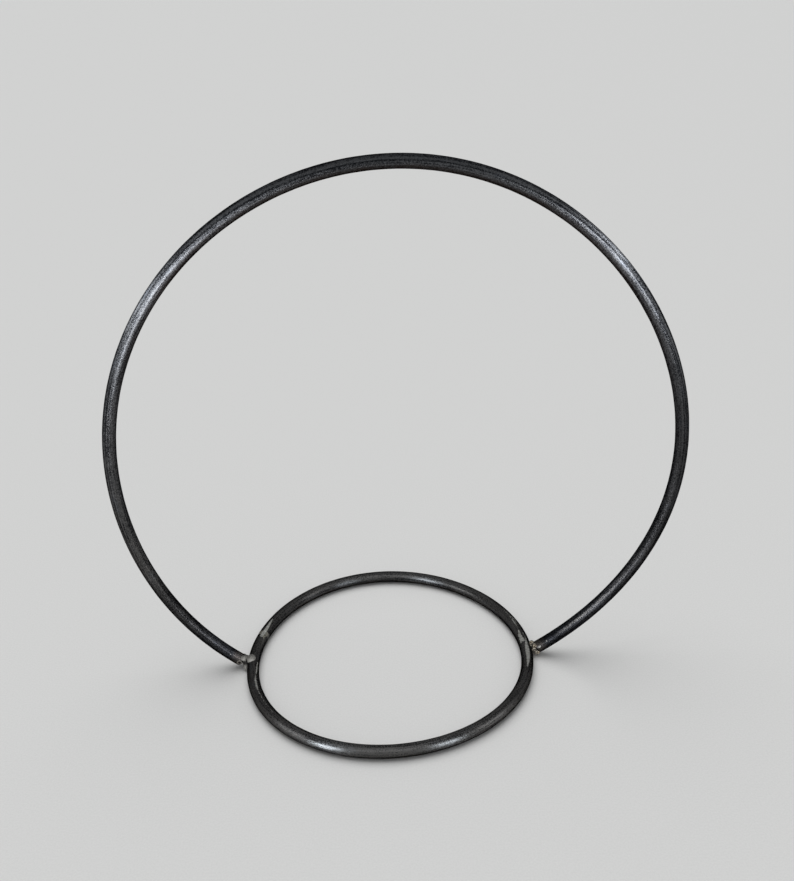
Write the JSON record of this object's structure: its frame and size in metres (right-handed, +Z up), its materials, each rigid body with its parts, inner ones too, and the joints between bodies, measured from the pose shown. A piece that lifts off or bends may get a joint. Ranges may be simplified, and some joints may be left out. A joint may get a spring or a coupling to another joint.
{
  "type": "wreath frame",
  "caption": "Tabletop wreath frame: an open upright hoop of round dark steel bar, welded at both ends to the sides of a smaller flat ring it stands on.",
  "frame": {"origin": "on the table, in the middle of the stand's width and depth", "axes": "+Z up, +X to the right along the width of the upright hoop, -Y towards the front"},
  "size_m": [0.3595, 0.1935, 0.3379],
  "materials": {
    "hoop_bar": "hot-rolled mill scale, dark blue-grey, satin",
    "base_bar": "hot-rolled mill scale, dark blue-grey, satin, scraped near the welds",
    "weld_metal": "as-welded, lumpy, dull grey",
    "ground_weld": "ground flush, pale grey"
  },
  "bodies": {
    "root": {"upright_hoop": "hoop_bar", "base_ring": "base_bar", "left_weld": "weld_metal", "right_weld": "weld_metal", "base_seam_weld": "ground_weld"}
  },
  "joints": []
}
